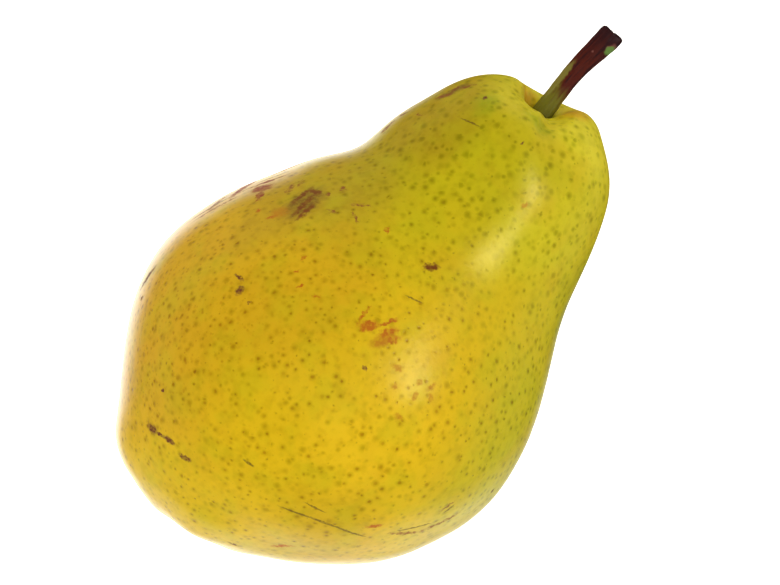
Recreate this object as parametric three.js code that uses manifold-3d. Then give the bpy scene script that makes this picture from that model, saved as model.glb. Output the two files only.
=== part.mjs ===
// A ripe pear lying on its side: the fruit, its woody stem and its dried calyx.
//
// Millimetres, +Z up. +X runs along the pear from its base to its stem and +Y is its left side,
// seen from above. The origin is on the small flat spot that the fruit lies on, straight below
// the fruit's weight.
//
// The fruit is a skin over a row of slanted rings. The row starts on the floor of the calyx basin,
// turns over the rim of the base, runs up the belly and the neck, turns over the shoulder into the
// stem's hollow and ends at the bottom of the socket that holds the stem.

import * as THREE from "three";
import { mergeVertices } from "three/addons/utils/BufferGeometryUtils.js";
import Module from "manifold-3d";

// ---- Driving dimensions ----

const FRUIT_LENGTH = 100; // along the axis, from the base's rim to the shoulder's crest
const BELLY_WIDTH = 74; // widest, from left to right
const BELLY_HEIGHT = 71; // from underside to top, before the underside is pressed flat
const FLAT_DEPTH = 0.9; // how much of the underside is pressed flat
const STEM_REACH = 16; // how far the stem stands out past the shoulder's crest
const STEM_WIDTH = 3.6; // across its slimmest stretch
const SEPAL_COUNT = 5;
const SEPAL_LENGTH = 4.4;
const SEPAL_WIDTH = 2.6;
const SEPAL_THICKNESS = 0.8;
const SEPAL_CURL = 1.5; // how far its tip leans out past the button
const SEPAL_TAPER = 0.82; // share of its width that it loses by its tip
const SEPAL_THINNING = 0.3; // share of its thickness that it loses by its tip
const SEPAL_POINT = 0.25; // how far its pointed end stands past its last ring
const CALYX_RADIUS = 2.3; // of the button that the sepals stand on
const CLEARANCE = 0.3; // between the fruit and the pieces set into it
const WELD = 1e-4; // points nearer than this are one point

// ---- How finely each piece is divided ----

const FRUIT_SIDES = 64;
const RINGS_PER_STATION = 2;
const STEM_SIDES = 16;
const STEM_RINGS = 24;
const SEPAL_SIDES = 8;
const SEPAL_RINGS = 7;
const BUTTON_SIDES = 20;

// ---- The fruit's shape ----

// Ring stations. `at` is a share of the fruit's length, `wide` and `high` are shares of the
// belly's half width and half height, and `drawn` is how far, in mm, a ring's upper side is drawn
// back from its left and right sides, which parts the shoulder into two lobes.
const STATIONS = [
  // the calyx basin and the rim of the base
  { at: 0.058, wide: 0.06, high: 0.06, drawn: 0 },
  { at: 0.042, wide: 0.125, high: 0.13, drawn: 0 },
  { at: 0.02, wide: 0.158, high: 0.163, drawn: 0 },
  { at: 0.0105, wide: 0.19, high: 0.195, drawn: 0 },
  { at: 0.0165, wide: 0.245, high: 0.25, drawn: 0 },
  { at: 0.0265, wide: 0.312, high: 0.318, drawn: 0 },
  { at: 0.039, wide: 0.39, high: 0.395, drawn: 0 },
  { at: 0.055, wide: 0.48, high: 0.482, drawn: 0 },
  // the belly
  { at: 0.086, wide: 0.6, high: 0.6, drawn: 0 },
  { at: 0.14, wide: 0.74, high: 0.745, drawn: 0 },
  { at: 0.21, wide: 0.868, high: 0.875, drawn: 0 },
  { at: 0.29, wide: 0.965, high: 0.97, drawn: 0 },
  { at: 0.375, wide: 1, high: 1, drawn: 0 },
  { at: 0.46, wide: 0.968, high: 0.965, drawn: 0 },
  { at: 0.54, wide: 0.892, high: 0.885, drawn: 0 },
  { at: 0.61, wide: 0.79, high: 0.785, drawn: 0 },
  { at: 0.67, wide: 0.695, high: 0.69, drawn: 0 },
  // the neck
  { at: 0.73, wide: 0.622, high: 0.62, drawn: 0 },
  { at: 0.79, wide: 0.577, high: 0.575, drawn: 0.2 },
  { at: 0.85, wide: 0.53, high: 0.535, drawn: 0.6 },
  { at: 0.9, wide: 0.472, high: 0.485, drawn: 1.4 },
  { at: 0.94, wide: 0.402, high: 0.432, drawn: 2.3 },
  { at: 0.97, wide: 0.33, high: 0.37, drawn: 3.1 },
  // the shoulder's crest, the stem's hollow and its socket
  { at: 0.99, wide: 0.26, high: 0.29, drawn: 3.6 },
  { at: 1, wide: 0.18, high: 0.195, drawn: 3.9 },
  { at: 0.992, wide: 0.122, high: 0.125, drawn: 3.7 },
  { at: 0.97, wide: 0.088, high: 0.088, drawn: 2.4 },
  { at: 0.94, wide: 0.069, high: 0.069, drawn: 0.8 },
  { at: 0.915, wide: 0.062, high: 0.062, drawn: 0 },
  { at: 0.89, wide: 0.058, high: 0.058, drawn: 0 },
];

// The line that the rings are centred on, at equal steps along the fruit: mm to the left, mm up,
// and the rings' slant in degrees, because at both ends the left side lies nearer the base.
const SPINE = [
  { left: -3.4, up: 0.5, slant: 16 },
  { left: -3.5, up: 0.6, slant: 11.3 },
  { left: -1.5, up: 0.4, slant: 7.6 },
  { left: -0.6, up: -0.4, slant: 6 },
  { left: 0.1, up: -1.7, slant: 6.6 },
  { left: 0.9, up: -2.4, slant: 8.2 },
  { left: 0.95, up: -2.3, slant: 10.8 },
  { left: 2.7, up: -1.6, slant: 14.5 },
  { left: 5, up: -0.8, slant: 17.5 },
];

// Gentle swellings and hollows: `at` as above, `turn` in degrees round the fruit from its left
// side over its top, `along` and `round` the spread in mm, and `rise` in mm.
const SWELLINGS = [
  // the fuller left side of the base, and the long slope from it up to the belly
  { at: 0.06, turn: 0, along: 5, round: 12, rise: 1.3 },
  { at: 0.19, turn: 0, along: 8, round: 14, rise: -0.8 },
  // the shoulder's two sides
  { at: 0.89, turn: 0, along: 4, round: 9, rise: -0.4 },
  { at: 0.96, turn: 0, along: 3, round: 9, rise: 0.3 },
  { at: 0.9, turn: 180, along: 7, round: 9, rise: 0.3 },
  { at: 0.97, turn: 180, along: 3, round: 9, rise: -0.5 },
  // the bump and the crease where belly and neck meet on the left
  { at: 0.68, turn: 0, along: 4.2, round: 13, rise: 1.1 },
  { at: 0.73, turn: 0, along: 4.5, round: 15, rise: -0.8 },
  // the fuller underside that the fruit lies on
  { at: 0.53, turn: 270, along: 20, round: 26, rise: 1.9 },
  // the lip in front of the stem and the furrow that runs down beside it
  { at: 0.955, turn: 78, along: 4, round: 5, rise: 0.6 },
  { at: 0.95, turn: 114, along: 7, round: 3.5, rise: -0.8 },
  // the neck's ridge and the hollow beside it
  { at: 0.77, turn: 108, along: 13, round: 7, rise: 0.6 },
  { at: 0.72, turn: 60, along: 9, round: 10, rise: -0.5 },
  // broad uneven patches on the belly, on the top and underneath
  { at: 0.43, turn: 116, along: 15, round: 13, rise: 0.6 },
  { at: 0.2, turn: 72, along: 12, round: 14, rise: 0.4 },
  { at: 0.64, turn: 238, along: 12, round: 12, rise: 0.6 },
  { at: 0.22, turn: 310, along: 13, round: 13, rise: -0.5 },
];

// Swellings and lobes fade out between these ring radii, in mm, over the edge of each hollow.
const HOLLOW_EDGE = [4, 10];

// The lower side is drawn back by this share of it only, so that the hollow's far wall closes
// the gap between the two lobes.
const UNDER_DRAWN = 0.08;

// The base looks down by this many degrees, and the tilt fades out between these shares of the
// length.
const BASE_TILT = 9;
const BASE_TILT_REACH = [0.008, 0.07];

// Five soft lobes round the rim of the base.
const BASE_LOBES = 5;
const BASE_LOBE_RISE = 0.25;
const BASE_LOBE_REACH = 0.07; // share of the length over which they fade out

// ---- The stem's shape ----

const STEM_ROOT = [0.905, 0.93]; // shares of the fruit's length, down in the socket
const TORN_DEPTH = 0.6; // how uneven its torn tip is

// The torn tip's edge: waves of so many humps round the stem, each turned by so many radians.
const TORN_EDGE = [
  { humps: 2, share: 0.6, turned: 0.9 },
  { humps: 3, share: 0.4, turned: 2 },
];

// From the shoulder's crest outwards: `past` is a share of the stem's reach, `left` and `up` are
// in mm, and `wide` is a share of the stem's width. Below the crest it follows the socket.
const STEM_STATIONS = [
  { past: -0.25, left: 3.9, up: -1, wide: 1.06 },
  { past: 0, left: 4.3, up: -0.8, wide: 1 },
  { past: 0.28, left: 4.8, up: -0.5, wide: 1 },
  { past: 0.5, left: 4.9, up: -0.2, wide: 1.07 },
  { past: 0.72, left: 4.75, up: 0.1, wide: 1.2 },
  { past: 0.92, left: 4.6, up: 0.35, wide: 1.27 },
  { past: 1, left: 4.55, up: 0.4, wide: 1.1 },
];

const NEARBY = 0.05; // of a station, to either side, for the stem's direction
const UP = new THREE.Vector3(0, 0, 1);
const manifold = await Module();
manifold.setup();

// ---- Curves and skins ----

// One field of a table of stations at a place between them, on a smooth curve through them all.
function between(table, field, place) {
  const last = table.length - 1;
  const first = Math.min(Math.floor(place), last - 1);
  const value = (step) => table[THREE.MathUtils.clamp(first + step, 0, last)][field];
  const [before, start, end, after] = [value(-1), value(0), value(1), value(2)];
  const t = place - first;
  const bend = 2 * before - 5 * start + 4 * end - after;
  const twist = 3 * (start - end) + after - before;
  return start + 0.5 * t * (end - before + t * (bend + t * twist));
}

// A ring of points round a centre. `across` and `over` are its two half axes, and a skin faces
// outwards where the next ring lies on the side of across x over.
function ringRound(centre, across, over, sides) {
  return Array.from({ length: sides }, (_, side) => {
    const turn = (side / sides) * 2 * Math.PI;
    return centre
      .clone()
      .addScaledVector(across, Math.cos(turn))
      .addScaledVector(over, Math.sin(turn));
  });
}

// A closed skin over a row of rings, with one point at each end.
function skinOver(firstPoint, rings, lastPoint) {
  const sides = rings[0].length;
  const points = [firstPoint, ...rings.flat(), lastPoint];
  const last = points.length - 1;
  const corner = (ring, side) => 1 + ring * sides + (side % sides);
  const faces = [];
  for (let side = 0; side < sides; side += 1) {
    faces.push(0, corner(0, side + 1), corner(0, side));
    for (let ring = 0; ring < rings.length - 1; ring += 1) {
      const near = [corner(ring, side), corner(ring, side + 1)];
      const far = [corner(ring + 1, side), corner(ring + 1, side + 1)];
      faces.push(near[0], near[1], far[1], near[0], far[1], far[0]);
    }
    faces.push(last, corner(rings.length - 1, side), corner(rings.length - 1, side + 1));
  }
  const geometry = new THREE.BufferGeometry().setFromPoints(points);
  geometry.setIndex(faces);
  geometry.computeVertexNormals();
  return geometry;
}

// ---- Fruit ----

// The centre of the ring at a share of the fruit's length, and how far the ring leans and tilts
// back per mm to the left and per mm up.
function spineAt(share) {
  const place = THREE.MathUtils.clamp(share, 0, 1) * (SPINE.length - 1);
  return {
    centre: new THREE.Vector3(
      share * FRUIT_LENGTH,
      between(SPINE, "left", place),
      between(SPINE, "up", place),
    ),
    lean: Math.tan(THREE.MathUtils.degToRad(between(SPINE, "slant", place))),
    tilt:
      Math.tan(THREE.MathUtils.degToRad(BASE_TILT)) *
      (1 - THREE.MathUtils.smoothstep(share, ...BASE_TILT_REACH)),
  };
}

// How far the swellings lift the skin at a share of the length and a turn round the fruit.
function swell(share, turn, radius) {
  return SWELLINGS.reduce((total, swelling) => {
    const aside = turn - THREE.MathUtils.degToRad(swelling.turn);
    const nearest = Math.atan2(Math.sin(aside), Math.cos(aside));
    const alongGap = ((share - swelling.at) * FRUIT_LENGTH) / swelling.along;
    const roundGap = (nearest * radius) / swelling.round;
    return total + swelling.rise * Math.exp(-(alongGap ** 2) - roundGap ** 2);
  }, 0);
}

// The ring of skin at a place between two stations.
function fruitRing(place) {
  const share = between(STATIONS, "at", place);
  const halfWidth = (between(STATIONS, "wide", place) * BELLY_WIDTH) / 2;
  const halfHeight = (between(STATIONS, "high", place) * BELLY_HEIGHT) / 2;
  const drawn = between(STATIONS, "drawn", place);
  const { centre, lean, tilt } = spineAt(share);
  const outside = THREE.MathUtils.smoothstep(halfWidth, ...HOLLOW_EDGE);
  const lobeRise = BASE_LOBE_RISE * Math.exp(-((share / BASE_LOBE_REACH) ** 2)) * outside;
  return Array.from({ length: FRUIT_SIDES }, (_, side) => {
    const turn = (side / FRUIT_SIDES) * 2 * Math.PI;
    const lift = swell(share, turn, halfWidth) * outside;
    const left = (halfWidth + lift) * Math.cos(turn);
    const up = (halfHeight + lift) * Math.sin(turn);
    const lobe = Math.cos(BASE_LOBES * (turn - Math.PI / 2)) * lobeRise;
    const drawnBack = drawn * Math.sin(turn) ** 2 * (Math.sin(turn) > 0 ? 1 : UNDER_DRAWN);
    const back = lean * left + tilt * up + drawnBack + lobe;
    return new THREE.Vector3(centre.x - back, centre.y + left, centre.z + up);
  });
}

// The whole skin, from the calyx basin's floor to the bottom of the stem's socket.
function fruitSkin() {
  const steps = (STATIONS.length - 1) * RINGS_PER_STATION;
  const rings = Array.from({ length: steps + 1 }, (_, i) => fruitRing(i / RINGS_PER_STATION));
  const basinFloor = spineAt(STATIONS[0].at).centre;
  const socketFloor = spineAt(STATIONS.at(-1).at).centre;
  return skinOver(basinFloor, rings, socketFloor);
}

// The fruit's own weight has pressed its underside flat. Returns the height of the flat spot.
function pressFlat(geometry) {
  const position = geometry.getAttribute("position");
  geometry.computeBoundingBox();
  const floor = geometry.boundingBox.min.z + FLAT_DEPTH;
  for (let i = 0; i < position.count; i += 1) {
    position.setZ(i, Math.max(position.getZ(i), floor));
  }
  geometry.computeVertexNormals();
  return floor;
}

// The centre of the volume that a closed skin holds.
function centreOfVolume(geometry) {
  const position = geometry.getAttribute("position");
  const index = geometry.getIndex();
  const [a, b, c] = [new THREE.Vector3(), new THREE.Vector3(), new THREE.Vector3()];
  const centre = new THREE.Vector3();
  let volume = 0;
  for (let i = 0; i < index.count; i += 3) {
    a.fromBufferAttribute(position, index.getX(i));
    b.fromBufferAttribute(position, index.getX(i + 1));
    c.fromBufferAttribute(position, index.getX(i + 2));
    const wedge = a.dot(b.clone().cross(c)) / 6;
    volume += wedge;
    centre.addScaledVector(a.clone().add(b).add(c), wedge / 4);
  }
  return centre.divideScalar(volume);
}

// ---- Stem ----

// The stem's stations, from its root in the socket to its torn tip, as points and radii.
function stemStations() {
  const radius = STEM_WIDTH / 2;
  const root = STEM_ROOT.map((share) => ({ ...spineAt(share).centre, radius }));
  const shaft = STEM_STATIONS.map(({ past, left, up, wide }) => ({
    x: FRUIT_LENGTH + past * STEM_REACH,
    y: left,
    z: up,
    radius: radius * wide,
  }));
  return [...root, ...shaft];
}

// The stem: round rings square to its centre line, the last ones torn unevenly.
function stemSkin() {
  const stations = stemStations();
  const end = stations.length - 1;
  const middle = (place) => {
    const held = THREE.MathUtils.clamp(place, 0, end);
    return new THREE.Vector3(...["x", "y", "z"].map((axis) => between(stations, axis, held)));
  };
  const rings = Array.from({ length: STEM_RINGS + 1 }, (_, i) => {
    const place = (i / STEM_RINGS) * end;
    const along = middle(place + NEARBY).sub(middle(place - NEARBY)).normalize();
    const radius = between(stations, "radius", place);
    const over = UP.clone().projectOnPlane(along).setLength(radius);
    const across = over.clone().cross(along);
    const torn = THREE.MathUtils.smoothstep(place, end - 1, end) * TORN_DEPTH;
    return ringRound(middle(place), across, over, STEM_SIDES).map((point, side) => {
      const turn = (side / STEM_SIDES) * 2 * Math.PI;
      const ragged = TORN_EDGE.reduce(
        (total, { humps, share, turned }) => total + share * Math.cos(humps * turn - turned),
        0,
      );
      return point.addScaledVector(along, ragged * torn);
    });
  });
  return skinOver(middle(0), rings, middle(end).add(new THREE.Vector3(-TORN_DEPTH, 0, 0)));
}

// ---- Calyx ----

// A closed geometry as a solid that can be joined to others.
function toSolid(geometry) {
  const bare = geometry.clone();
  bare.deleteAttribute("normal");
  bare.deleteAttribute("uv");
  const merged = mergeVertices(bare, WELD);
  const mesh = new manifold.Mesh({
    numProp: 3,
    vertProperties: merged.getAttribute("position").array,
    triVerts: new Uint32Array(merged.getIndex().array),
  });
  return new manifold.Manifold(mesh);
}

// A joined solid as a geometry again.
function toGeometry(solid) {
  const { numProp, vertProperties, triVerts } = solid.getMesh();
  const buffer = new THREE.InterleavedBuffer(vertProperties, numProp);
  const geometry = new THREE.BufferGeometry();
  geometry.setAttribute("position", new THREE.InterleavedBufferAttribute(buffer, 3, 0));
  geometry.setIndex(new THREE.BufferAttribute(triVerts, 1));
  geometry.computeVertexNormals();
  return geometry;
}

// One dried sepal. It rises from the button's edge, leans out and curls over towards its tip.
function sepalSkin() {
  const middle = new THREE.CubicBezierCurve3(
    new THREE.Vector3(CALYX_RADIUS - SEPAL_THICKNESS, 0, 0.3),
    new THREE.Vector3(CALYX_RADIUS - SEPAL_THICKNESS / 2, 0, SEPAL_LENGTH * 0.4),
    new THREE.Vector3(CALYX_RADIUS + SEPAL_CURL * 0.15, 0, SEPAL_LENGTH * 0.75),
    new THREE.Vector3(CALYX_RADIUS + SEPAL_CURL, 0, SEPAL_LENGTH * 0.85),
  );
  const rings = Array.from({ length: SEPAL_RINGS }, (_, i) => {
    const share = i / (SEPAL_RINGS - 1);
    const growth = middle.getTangent(share);
    const taper = 1 - SEPAL_TAPER * share ** 2;
    const thin = 1 - SEPAL_THINNING * share;
    const across = new THREE.Vector3(0, 1, 0).multiplyScalar((SEPAL_WIDTH / 2) * taper);
    const over = growth.clone().cross(across).setLength((SEPAL_THICKNESS / 2) * thin);
    return ringRound(middle.getPoint(share), across, over, SEPAL_SIDES);
  });
  const tip = middle.getPoint(1).addScaledVector(middle.getTangent(1), SEPAL_POINT);
  return skinOver(middle.getPoint(0), rings, tip);
}

// The sepals stand in a ring on a small dished button, the remains of the blossom.
function calyxSkin() {
  const profile = [
    [0, 0],
    [CALYX_RADIUS * 0.8, 0.1],
    [CALYX_RADIUS, 0.6],
    [CALYX_RADIUS * 0.85, 1.2],
    [CALYX_RADIUS * 0.45, 1],
    [0, 0.8],
  ].map(([out, up]) => new THREE.Vector2(out, up));
  const button = new THREE.LatheGeometry(profile, BUTTON_SIDES).rotateX(Math.PI / 2);
  const sepal = sepalSkin();
  const sepals = Array.from({ length: SEPAL_COUNT }, (_, i) =>
    toSolid(sepal.clone().rotateZ((i / SEPAL_COUNT) * 2 * Math.PI)),
  );
  return toGeometry(sepals.reduce((whole, one) => whole.add(one), toSolid(button)));
}

// ---- The pear ----

const fruitGeometry = fruitSkin();
const floor = pressFlat(fruitGeometry);
const weight = centreOfVolume(fruitGeometry);

const fruit = new THREE.Mesh(
  fruitGeometry,
  new THREE.MeshStandardMaterial({ color: 0xd6b41c, roughness: 0.42, metalness: 0 }),
);
fruit.name = "fruit";

const stem = new THREE.Mesh(
  stemSkin(),
  new THREE.MeshStandardMaterial({ color: 0x4a2018, roughness: 0.6, metalness: 0 }),
);
stem.name = "stem";

const calyx = new THREE.Mesh(
  calyxSkin(),
  new THREE.MeshStandardMaterial({ color: 0x33251a, roughness: 0.85, metalness: 0 }),
);
calyx.name = "calyx";

// The calyx sits on the basin's floor and looks out of it, square to the slanted base.
const basin = spineAt(STATIONS[0].at);
const outwards = new THREE.Vector3(-1, -basin.lean, -basin.tilt).normalize();
const calyxSeat = new THREE.Group();
calyxSeat.position.copy(basin.centre).addScaledVector(outwards, CLEARANCE);
calyxSeat.quaternion.setFromUnitVectors(UP, outwards);
calyxSeat.add(calyx);

const pear = new THREE.Group();
pear.add(fruit, stem, calyxSeat);
pear.position.set(-weight.x, -weight.y, -floor);

export default pear;
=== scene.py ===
"""A ripe pear on its side, with waxy dotted skin, woody stem and dried calyx, in a white studio."""

import math
import random

import bpy
import numpy as np
from mathutils import Matrix, Vector, noise
from mathutils.bvhtree import BVHTree


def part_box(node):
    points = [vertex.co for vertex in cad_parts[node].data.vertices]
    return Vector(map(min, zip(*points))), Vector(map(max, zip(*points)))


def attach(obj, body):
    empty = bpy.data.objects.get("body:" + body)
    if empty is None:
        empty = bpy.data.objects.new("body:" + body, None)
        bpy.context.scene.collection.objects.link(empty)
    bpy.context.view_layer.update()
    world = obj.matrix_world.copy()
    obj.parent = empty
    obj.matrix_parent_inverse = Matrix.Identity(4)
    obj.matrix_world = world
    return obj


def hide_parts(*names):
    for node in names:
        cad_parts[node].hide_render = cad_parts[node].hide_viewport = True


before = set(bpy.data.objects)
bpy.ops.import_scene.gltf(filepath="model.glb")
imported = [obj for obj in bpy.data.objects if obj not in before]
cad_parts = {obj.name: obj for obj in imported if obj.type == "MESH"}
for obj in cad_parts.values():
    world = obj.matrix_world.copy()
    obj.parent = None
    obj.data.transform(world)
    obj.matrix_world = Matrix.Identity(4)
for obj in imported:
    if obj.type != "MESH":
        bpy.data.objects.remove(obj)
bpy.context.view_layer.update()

bl_info = {
    "name": "Pear",
    "version": (1, 0, 0),
    "blender": (4, 5, 0),
    "location": "View3D > Sidebar > Pear",
    "description": "Dresses a packed pear: its skin, stem, calyx and a studio round it",
    "category": "Object",
}

MM = 0.001
SIDE_BODY = "root"

# ---- The view ----

PICTURE_TURN = math.radians(-46)  # the pear's length points up and to the right
PICTURE_CENTRE = (10.6, 1.6)  # mm, the point of the pear's plane in the middle of the picture
OUTLINE_LEVEL = 35.0  # mm, the height at which the pear is widest
PICTURE_WIDTH = 138.75  # mm, at that height
LENS = 400.0  # mm, a long lens that hardly changes the pear's proportions
SENSOR = 36.0  # mm
EYE_DISTANCE = PICTURE_WIDTH * LENS / SENSOR
EYE = Vector((*PICTURE_CENTRE, OUTLINE_LEVEL + EYE_DISTANCE)) * MM

# ---- Skin: places on it ----

CREASE_PLACE = np.array((53.6, 2.0)) * MM  # in the hollow's near lip, seen from above
CREASE_REACH = np.array((6.0, 3.0)) * MM
CREASE_SHIFT = np.array((-1.5, 0.0, -0.5)) * MM
CREASE_FLOOR = 37 * MM  # only the lip above the stem is moved
CREASE_ONSET = 0.1  # share of that height over which the crease sets in

CHEEK_STRENGTH = 0.6

# Soft areas where the skin has turned, and some that are painted shade, painted sheen and painted
# highlight, as marked below. Each row: name, centre and half sizes in mm, colour and strength.
ZONES = [
    ("neck", (52, 0, 45), (52, 50, 50), "leaf", 0.7),
    # Painted shade: the waist and its crest on the left are darker olive and deep green.
    ("waist", (22, 22, 50), (22, 17, 30), "olive", 0.5),
    ("waist's crest", (22, 20, 50), (18, 13, 26), "deep", 0.15),
    ("waist's hollow", (17, 10, 58), (13, 12, 24), "leaf", 0.3),
    # Painted shade: the neck's left side is darker olive.
    ("neck's left", (42, 19, 46), (18, 13, 22), "olive", 0.6),
    ("sunny cheek", (-18, 26, 45), (34, 24, 40), "gold", CHEEK_STRENGTH),
    ("bruised cheek", (5.7, 27.8, 52), (14, 10, 22), "olive", 0.4),
    ("upper belly", (-1, 12.5, 65), (24, 14, 30), "gold", 0.35),
    ("right flank", (10, -35, 40), (42, 25, 40), "leaf", 0.7),
    ("low belly", (-27, -17, 50), (18, 15, 26), "olive", 0.25),
    ("left belly", (-26, 11, 56), (12, 11, 24), "gold", 0.3),
    # Painted highlight: a paler yellow on top of the belly.
    ("painted_highlight", (-10, -13, 68), (18, 13, 26), "painted_highlight", 0.5),
    ("lobes", (60, 1, 42), (17, 30, 34), "lemon", 0.7),
    # Painted sheen: a paler lemon on the neck's right flank, beside the highlight.
    ("neck's painted sheen", (36.5, -11, 52), (18, 9, 20), "lemon", 0.4),
    ("stem's end", (50, 7, 52), (8, 8, 24), "olive", 0.2),
    ("base", (-36, -6, 30), (17, 26, 34), "leaf", 0.35),
    # Painted shade: deep green where the right flank turns down.
    ("shaded side", (36, -25, 26), (26, 11, 26), "deep", 0.6),
    ("under", (0, 0, 0), (60, 40, 22), "leaf", 0.5),
]

GREEN_ZONES = ("neck", "right flank")
ZONE_DRIFT = (14, 9)  # mm, how wide the waves in a zone's edge are and how far they reach
ZONE_EDGE = 0.7  # share of a zone's radius over which it fades

# Mottling all over the skin. Each row: width in mm, the noise level at which it begins to show and
# at which it is full, strength, detail, colour and how it is laid on.
CLOUDS = [
    (6, 0.42, 0.72, 0.3, 3, "leaf", "MIX"),
    (9, 0.5, 0.75, 0.2, 3, "gold", "MIX"),
    (1.7, 0.42, 0.72, 0.4, 2, "dot_halo", "MULTIPLY"),
]

# The breathing dots and the finer specks. Distances from a dot's middle are shares of its radius.
DOT_DRIFT = (0.8, 0.22)  # mm, how wide the waves in a dot's edge are and how far they reach
DOT_SCATTER = 0.95  # how far the dots stray from even rows
DOT_SIZES = (0.6, 1.2)  # smallest and largest dot, as shares of the usual one
DOT_DEPTHS = (0.15, 0.5)  # share of the spacing at which a dot off the skin shrinks and is gone
DOT_GONE = 0.02  # radius of a dot that is gone, as a share of the usual one
DOT_BOLDNESS = (0.3, 1.0)  # strength of the faintest and of the boldest dot
FAINT_DOTS = 0.1  # share of the dots that are as faint as the faintest
HALO_EDGE = (1.0, 0.1)  # where the green ring begins and where it is full
CORE_EDGE = (0.45, 0.1)  # where the cork begins and where it is full
SPECK_EDGE = (1.0, 0.2)
SPECK_THICKNESS = (0.2, 0.75)  # strength of the specks off the sunny cheek and on it

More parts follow.
